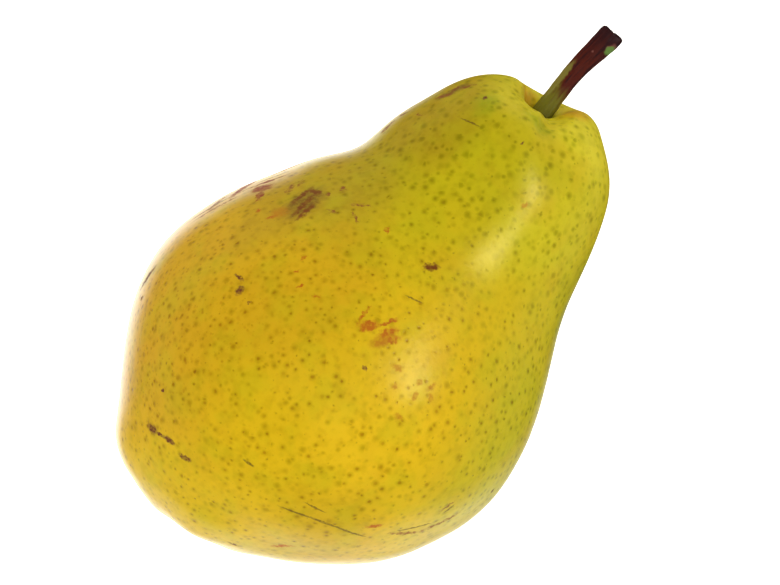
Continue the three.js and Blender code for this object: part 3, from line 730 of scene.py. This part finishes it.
def skin_material(settings, skin):
    """Waxy pear skin: a living cuticle, satin from its own wax, over mottled yellow flesh colour.

    The wax gives it a soft wide highlight, the pores are corky dots with a green ring, and
    scuffed places heal as dull red-brown cork. Some zones and marks are painted light: a painted
    highlight, painted sheen and painted shade."""
    material, tree, shader = new_material("waxy_pear_skin")
    tree_of_skin = BVHTree.FromObject(skin, bpy.context.evaluated_depsgraph_get())
    place = add_node(tree, "ShaderNodeTexCoord", {}, {}).outputs["Object"]
    normal = add_node(tree, "ShaderNodeNewGeometry", {}, {}).outputs["Normal"]

    layers = []  # the colours from the flesh up, each with its share and how it is laid on
    drifting = wander(tree, place, *ZONE_DRIFT, 4)
    zone_shares = {}
    for name, centre, half, colour_name, strength in ZONES:
        zone_shares[name] = soft_patch(tree, drifting, centre, half, ZONE_EDGE, strength)
        layers.append((zone_shares[name], getattr(settings, colour_name), "MIX"))
    for *cloud, colour_name, blend in CLOUDS:
        layers.append((clouds(tree, place, *cloud), getattr(settings, colour_name), blend))

    # Breathing dots, each a cork core in a soft green ring. Some are strong and most are faint.
    uneven = wander(tree, place, *DOT_DRIFT, 4)
    from_dot, dice = dots(tree, uneven, normal, settings.dot_spacing, settings.dot_radius)
    boldness = add_node(
        tree, "ShaderNodeMapRange", SMOOTH,
        {"Value": dice[1], "From Min": FAINT_DOTS,
         "To Min": DOT_BOLDNESS[0], "To Max": DOT_BOLDNESS[1]},
    ).outputs[0]
    halo = add_node(
        tree, "ShaderNodeMapRange", SMOOTH,
        {"Value": from_dot, "From Min": HALO_EDGE[0], "From Max": HALO_EDGE[1],
         "To Max": boldness},
    ).outputs[0]
    cork = add_node(
        tree, "ShaderNodeMath", {"operation": "MULTIPLY"}, {0: boldness, 1: dice[2]}
    ).outputs[0]
    # The neck's dots have hardly any cork yet.
    ripe = add_node(
        tree, "ShaderNodeMath", {"operation": "SUBTRACT"}, {0: 1.0, 1: zone_shares["neck"]}
    ).outputs[0]
    cork = add_node(
        tree, "ShaderNodeMath", {"operation": "MULTIPLY"}, {0: cork, 1: ripe}
    ).outputs[0]
    core = add_node(
        tree, "ShaderNodeMapRange", SMOOTH,
        {"Value": from_dot, "From Min": CORE_EDGE[0], "From Max": CORE_EDGE[1], "To Max": cork},
    ).outputs[0]
    layers.append((halo, settings.dot_halo, "MULTIPLY"))
    layers.append((core, settings.dot_core, "MULTIPLY"))
    # Where the skin is still green its dots are greener and stand out more.
    for name in GREEN_ZONES:
        green = add_node(
            tree, "ShaderNodeMath", {"operation": "MULTIPLY"}, {0: halo, 1: zone_shares[name]}
        ).outputs[0]
        layers.append((green, settings.dot_green, "MULTIPLY"))

    # Finer brown specks, thick on the sunny cheek and thin elsewhere.
    from_speck, dice = dots(tree, uneven, normal, settings.speck_spacing, settings.speck_radius)
    thick = add_node(
        tree, "ShaderNodeMapRange", {},
        {"Value": zone_shares["sunny cheek"], "From Max": CHEEK_STRENGTH,
         "To Min": SPECK_THICKNESS[0], "To Max": SPECK_THICKNESS[1]},
    ).outputs[0]
    thick = add_node(
        tree, "ShaderNodeMath", {"operation": "MULTIPLY"}, {0: thick, 1: dice[1]}
    ).outputs[0]
    speck = add_node(
        tree, "ShaderNodeMapRange", SMOOTH,
        {"Value": from_speck, "From Min": SPECK_EDGE[0], "From Max": SPECK_EDGE[1],
         "To Max": thick},
    ).outputs[0]
    layers.append((speck, settings.dot_core, "MULTIPLY"))

    rough = settings.gloss
    for kind, (code, roughness, *edge) in KINDS.items():
        share = mark_share(tree, place, tree_of_skin, MARKS[kind], *edge)
        layers.append((share, linear(code), "MIX"))
        rough = add_node(
            tree, "ShaderNodeMapRange", {}, {"Value": share, "To Min": rough, "To Max": roughness}
        ).outputs[0]

    tint = settings.yellow[:]
    for share, over, blend in layers:
        tint = add_node(
            tree, "ShaderNodeMix", {**MIX, "blend_type": blend},
            {MIX_SHARE: share, MIX_UNDER: tint, MIX_OVER: over[:]},
        ).outputs[MIX_RESULT]

    pore_width, pore_height = PEEL
    pores = add_node(
        tree, "ShaderNodeTexNoise", {},
        {"Vector": place, "Scale": 1 / (pore_width * MM), "Detail": 2},
    ).outputs["Fac"]
    peel = add_node(
        tree, "ShaderNodeMath", {"operation": "MULTIPLY"}, {0: pores, 1: pore_height}
    ).outputs[0]
    sunk = add_node(
        tree, "ShaderNodeMath", {"operation": "MULTIPLY_ADD"}, {0: core, 1: -CORE_DEPTH, 2: peel}
    ).outputs[0]
    bump = add_node(tree, "ShaderNodeBump", {}, {"Height": sunk, "Distance": MM})
    tree.links.new(tint, shader.inputs["Base Color"])
    tree.links.new(rough, shader.inputs["Roughness"])
    tree.links.new(bump.outputs[0], shader.inputs["Normal"])
    shader.inputs["IOR"].default_value = WAX_IOR
    shader.inputs["Specular Tint"].default_value = settings.sheen
    shader.inputs["Subsurface Weight"].default_value = FLESH_SHARE
    shader.inputs["Subsurface Radius"].default_value = FLESH_COLOURS
    shader.inputs["Subsurface Scale"].default_value = FLESH_REACH * MM
    return material


# ---- Stem ----


def straightened(points, start, end, slices):
    """Each point's distance along the bent stem, its turn round it and its radius."""
    way = (end - start) / np.linalg.norm(end - start)
    share = (points - start) @ way / np.linalg.norm(end - start)
    edges = np.linspace(share.min(), share.max(), slices + 1)
    middles = np.array([
        points[(share >= low) & (share <= high)].mean(0) for low, high in zip(edges, edges[1:])
    ])
    at = (edges[1:] + edges[:-1]) / 2
    centre = np.stack([np.interp(share, at, middles[:, axis]) for axis in range(3)], 1)
    side = np.cross(way, (0, 0, 1))
    side /= np.linalg.norm(side)
    over = np.cross(side, way)
    off = points - centre
    turn = np.arctan2(off @ side, off @ over)
    radius = np.hypot(off @ side, off @ over)
    return (share - share.min()) * np.linalg.norm(end - start), turn, radius


def stem_shape(settings):
    """The stem with its lengthwise ridges and a lumpy torn tip."""
    stem = merged_copy("stem", "woody_stem", settings.smoothing)
    points, normals = points_of(stem)
    order = points[:, 0].argsort()
    start = points[order[:STEM_END_POINTS]].mean(0)
    end = points[order[-STEM_END_POINTS:]].mean(0)
    along, turn, radius = straightened(points, start, end, STEM_SLICES)
    tip = np.clip((along - along.max()) / (TIP_LENGTH * MM) + 1, 0, 1)
    # The torn end is worn: what stands out at its edge is shorter and its notch is shallower.
    over = along - along.max() + settings.worn_level
    share = np.clip(1 + over / (2 * settings.worn_level), 0, 1)
    shift = -WORN_SHARE * over * share**2 * (3 - 2 * share)
    points += shift[:, None] * (end - start) / np.linalg.norm(end - start)
    ridges = sum(part * np.cos(count * turn + phase) for count, phase, part in STEM_RIDGES)
    points += normals * (settings.ridge_height * ridges * (1 + tip))[:, None]
    for i, point in enumerate(points):
        lump = noise.noise(Vector(point) / (LUMP_WIDTH * MM))
        points[i] += normals[i] * lump * (LUMP_HEIGHTS[0] + LUMP_HEIGHTS[1] * tip[i]) * MM
    move_points(stem, points)
    straight = stem.data.attributes.new("straight", "FLOAT_VECTOR", "POINT")
    table = np.stack([np.cos(turn) * radius, np.sin(turn) * radius, along], 1)
    straight.data.foreach_set("vector", table.ravel())
    return stem


def stem_material(settings):
    """Young pear wood: a smooth thin bark that dried from the tip down, green where it is alive.

    It gives a dull sheen, dark red-brown lengthwise streaks, a green foot and a scraped place."""
    material, tree, shader = new_material("pear_wood_bark")
    straight = add_node(
        tree, "ShaderNodeAttribute", {"attribute_name": "straight"}, {}
    ).outputs["Vector"]
    along = add_node(tree, "ShaderNodeSeparateXYZ", {}, {0: straight}).outputs["Z"]
    stretched = add_node(
        tree, "ShaderNodeMapping", {}, {"Vector": straight, "Scale": (1, 1, STREAK_SQUEEZE)}
    ).outputs[0]
    streaks = add_node(
        tree, "ShaderNodeTexNoise", {},
        {"Vector": stretched, "Scale": 1 / (STREAK_WIDTH * MM), "Detail": 4},
    ).outputs["Fac"]
    uneven = add_node(
        tree, "ShaderNodeMath", {"operation": "MULTIPLY_ADD"},
        {0: streaks, 1: STREAK_REACH * MM, 2: along},
    ).outputs[0]
    layers = []  # the colours from the bark up, each with its share
    for value, (low, high), tone in (
        (uneven, in_metres(TIP_FADE), settings.tip),
        (streaks, STREAK_FADE, settings.tip),
        (uneven, in_metres(FOOT_FADE), settings.foot),
    ):
        share = add_node(
            tree, "ShaderNodeMapRange", SMOOTH, {"Value": value, "From Min": low, "From Max": high}
        ).outputs[0]
        layers.append((share, tone))
    for centre, half, tone_name, strength, ragged in STEM_PATCHES:
        moved = wander(tree, straight, PATCH_WAVE, ragged, 3)
        share = soft_patch(tree, moved, centre, half, PATCH_EDGE, strength)
        layers.append((share, getattr(settings, tone_name)))
    tint = settings.bark[:]
    for share, tone in layers:
        tint = add_node(
            tree, "ShaderNodeMix", MIX, {MIX_SHARE: share, MIX_UNDER: tint, MIX_OVER: tone[:]}
        ).outputs[MIX_RESULT]
    bump = add_node(tree, "ShaderNodeBump", {}, {"Height": streaks, "Distance": BARK_RELIEF * MM})
    tree.links.new(tint, shader.inputs["Base Color"])
    tree.links.new(bump.outputs[0], shader.inputs["Normal"])
    shader.inputs["Roughness"].default_value = BARK_ROUGHNESS
    shader.inputs["IOR"].default_value = BARK_IOR
    return material


# ---- Calyx ----


def calyx_shape(settings):
    """The dried sepals, crinkled, with the stumps of the stamens between them."""
    sepals = merged_copy("calyx", "dried_calyx", settings.smoothing)
    points, normals = points_of(sepals)
    for i, point in enumerate(points):
        place = Vector(point)
        for width, height in CRINKLES:
            points[i] += normals[i] * noise.noise(place / (width * MM)) * height * MM
    move_points(sepals, points)
    low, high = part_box("calyx")
    middle = (low + high) / 2
    draw = random.Random(THREAD_SEED)
    made = []
    for _ in range(settings.threads):
        bpy.ops.object.select_all(action="DESELECT")
        bpy.ops.mesh.primitive_cylinder_add(
            vertices=THREAD_SIDES, radius=THREAD_RADIUS * MM,
            depth=settings.thread_length * THREAD_ROOT, location=(0, 0, 0),
        )
        thread = bpy.context.active_object
        bpy.ops.object.mode_set(mode="EDIT")
        bpy.ops.mesh.select_all(action="DESELECT")
        bpy.ops.object.mode_set(mode="OBJECT")
        for face in thread.data.polygons:
            face.select = face.normal.z > 0.9
        bpy.ops.object.mode_set(mode="EDIT")
        bend = draw.uniform(-THREAD_BEND, THREAD_BEND)
        for step, size in enumerate(THREAD_SIZES, 1):
            reach = (bend * step * MM, 0, settings.thread_length * THREAD_STEP)
            bpy.ops.mesh.extrude_region_move(TRANSFORM_OT_translate={"value": reach})
            bpy.ops.transform.resize(value=(size,) * 3)
        bpy.ops.object.mode_set(mode="OBJECT")
        spread = draw.uniform(*THREAD_SPREAD)
        turn = draw.uniform(0, 2 * math.pi)
        lean = Matrix.Rotation(turn, 4, "X") @ Matrix.Rotation(-math.pi / 2 + spread, 4, "Y")
        foot = Vector((high.x - THREAD_DEPTH * MM, middle.y, middle.z))
        thread.data.transform(Matrix.Translation(foot) @ lean)
        bpy.ops.object.shade_smooth()
        made.append(thread)
    select_only(*made, sepals)
    bpy.ops.object.join()
    return sepals


def calyx_material(settings):
    """Dried blossom leaf: dead, shrunken and downy, so it is dull, brown and pale at its edges."""
    material, tree, shader = new_material("dried_sepal")
    place = add_node(tree, "ShaderNodeTexCoord", {}, {}).outputs["Object"]
    patches = add_node(
        tree, "ShaderNodeTexNoise", {},
        {"Vector": place, "Scale": 1 / (SEPAL_PATCH * MM), "Detail": 4},
    ).outputs["Fac"]
    share = add_node(
        tree, "ShaderNodeMapRange", {},
        {"Value": patches, "From Min": SEPAL_FADE[0], "From Max": SEPAL_FADE[1]},
    ).outputs[0]
    tint = add_node(
        tree, "ShaderNodeMix", MIX,
        {MIX_SHARE: share, MIX_UNDER: settings.dry[:], MIX_OVER: settings.pale[:]},
    ).outputs[MIX_RESULT]
    bump = add_node(tree, "ShaderNodeBump", {}, {"Height": patches, "Distance": SEPAL_RELIEF * MM})
    tree.links.new(tint, shader.inputs["Base Color"])
    tree.links.new(bump.outputs[0], shader.inputs["Normal"])
    shader.inputs["Roughness"].default_value = SEPAL_ROUGHNESS
    return material


# ---- Studio ----


def studio(settings):
    """A glowing pale floor, an even white room, soft lights and the camera."""
    bpy.ops.object.select_all(action="DESELECT")
    bpy.ops.mesh.primitive_plane_add(size=settings.floor_size, location=(0, 0, 0))
    floor = bpy.context.active_object
    floor.name = "floor"
    material, _, shader = new_material("matte_white_board")
    shader.inputs["Base Color"].default_value = settings.floor_colour
    shader.inputs["Roughness"].default_value = BOARD_ROUGHNESS
    shader.inputs["Specular IOR Level"].default_value = BOARD_GLOSS
    shader.inputs["Emission Color"].default_value = WHITE
    shader.inputs["Emission Strength"].default_value = settings.floor_glow
    floor.data.materials.append(material)
    floor.visible_glossy = False

    # The skin's outermost edge mirrors these cards, which gives it a thin bright rim.
    for name, (along, across), (long, wide), drop, glow in CARDS:
        bpy.ops.object.select_all(action="DESELECT")
        bpy.ops.mesh.primitive_circle_add(
            vertices=CARD_SIDES, radius=wide / 2 * MM, fill_type="NGON",
            location=(along * MM, across * MM, -drop * MM), scale=(long / wide, 1, 1),
        )
        bpy.ops.object.transform_apply(location=False, rotation=False, scale=True)
        card = bpy.context.active_object
        card.name = name
        material, tree, shader = new_material("glowing_white_card")
        shader.inputs["Base Color"].default_value = BLACK
        shader.inputs["Specular IOR Level"].default_value = 0.0
        shader.inputs["Emission Color"].default_value = WHITE
        place = add_node(tree, "ShaderNodeTexCoord", {}, {}).outputs["Object"]
        shade = (SHADE_MIDDLE[0] - along, SHADE_MIDDLE[1] - across)
        light = 1.0
        for (x, y), size, edge, inside, outside in (
            ((0, 0), (long, wide), CARD_EDGE, glow, 0.0),
            (shade, SHADE_SIZE, SHADE_EDGE, 0.0, 1.0),
        ):
            half = (size[0] / 2, size[1] / 2, 1)
            share = soft_patch(tree, place, (x, y, 0), half, edge, inside, outside)
            light = add_node(
                tree, "ShaderNodeMath", {"operation": "MULTIPLY"}, {0: light, 1: share}
            ).outputs[0]
        tree.links.new(light, shader.inputs["Emission Strength"])
        card.data.materials.append(material)
        card.visible_camera = card.visible_diffuse = card.visible_shadow = False

    world = bpy.data.worlds.new("studio_white")
    bpy.context.scene.world = world
    world.use_nodes = True
    background = world.node_tree.nodes["Background"]
    background.inputs["Color"].default_value = WHITE
    background.inputs["Strength"].default_value = settings.sky
    world.cycles_visibility.glossy = False

    middle = Vector((0, 0, OUTLINE_LEVEL * MM))
    for name, way, distance, size, power, lights, mirrored in LAMPS:
        way = Vector(way).normalized()
        bpy.ops.object.light_add(type="AREA", location=middle + way * distance)
        lamp = bpy.context.active_object
        lamp.name = name
        lamp.rotation_euler = way.to_track_quat("Z", "Y").to_euler()
        lamp.data.shape = "RECTANGLE"
        lamp.data.size, lamp.data.size_y = size
        lamp.data.energy = settings.brightness * power
        lamp.visible_camera = False
        lamp.visible_diffuse = lights
        lamp.visible_glossy = mirrored

    bpy.ops.object.camera_add(location=EYE, rotation=(0, 0, PICTURE_TURN))
    camera = bpy.context.active_object
    camera.data.lens = LENS
    camera.data.sensor_width = SENSOR
    bpy.context.scene.camera = camera
    bpy.context.scene.view_settings.view_transform = "Standard"


# ---- Operators and panel ----


class PEAR_OT_skin(bpy.types.Operator):
    """Makes the fruit's skin"""

    bl_idname = "pear.skin"
    bl_label = "Skin"

    def execute(self, context):
        settings = context.scene.pear_skin
        skin = skin_shape(settings)
        finish_piece(skin, "fruit", skin_material(settings, skin))
        return {"FINISHED"}


class PEAR_OT_stem(bpy.types.Operator):
    """Makes the woody stem"""

    bl_idname = "pear.stem"
    bl_label = "Stem"

    def execute(self, context):
        settings = context.scene.pear_stem
        finish_piece(stem_shape(settings), "stem", stem_material(settings))
        return {"FINISHED"}


class PEAR_OT_calyx(bpy.types.Operator):
    """Makes the dried blossom in the base"""

    bl_idname = "pear.calyx"
    bl_label = "Calyx"

    def execute(self, context):
        settings = context.scene.pear_calyx
        finish_piece(calyx_shape(settings), "calyx", calyx_material(settings))
        return {"FINISHED"}


class PEAR_OT_studio(bpy.types.Operator):
    """Makes the floor, the lights and the camera"""

    bl_idname = "pear.studio"
    bl_label = "Studio"

    def execute(self, context):
        studio(context.scene.pear_studio)
        return {"FINISHED"}


STEPS = (
    ("pear_skin", SkinSettings, PEAR_OT_skin),
    ("pear_stem", StemSettings, PEAR_OT_stem),
    ("pear_calyx", CalyxSettings, PEAR_OT_calyx),
    ("pear_studio", StudioSettings, PEAR_OT_studio),
)


class PEAR_PT_panel(bpy.types.Panel):
    """Lists the pear's pieces with their sizes and colours"""

    bl_idname = "PEAR_PT_panel"
    bl_label = "Pear"
    bl_space_type = "VIEW_3D"
    bl_region_type = "UI"
    bl_category = "Pear"

    def draw(self, context):
        for name, group, operator in STEPS:
            box = self.layout.box()
            box.operator(operator.bl_idname)
            for field in group.__annotations__:
                box.prop(getattr(context.scene, name), field)


def register():
    for name, group, operator in STEPS:
        bpy.utils.register_class(group)
        bpy.utils.register_class(operator)
        setattr(bpy.types.Scene, name, bpy.props.PointerProperty(type=group))
    bpy.utils.register_class(PEAR_PT_panel)


def unregister():
    bpy.utils.unregister_class(PEAR_PT_panel)
    for name, group, operator in reversed(STEPS):
        delattr(bpy.types.Scene, name)
        bpy.utils.unregister_class(operator)
        bpy.utils.unregister_class(group)


def main():
    register()
    bpy.ops.pear.skin()
    bpy.ops.pear.stem()
    bpy.ops.pear.calyx()
    bpy.ops.pear.studio()


if __name__ == "__main__":
    main()
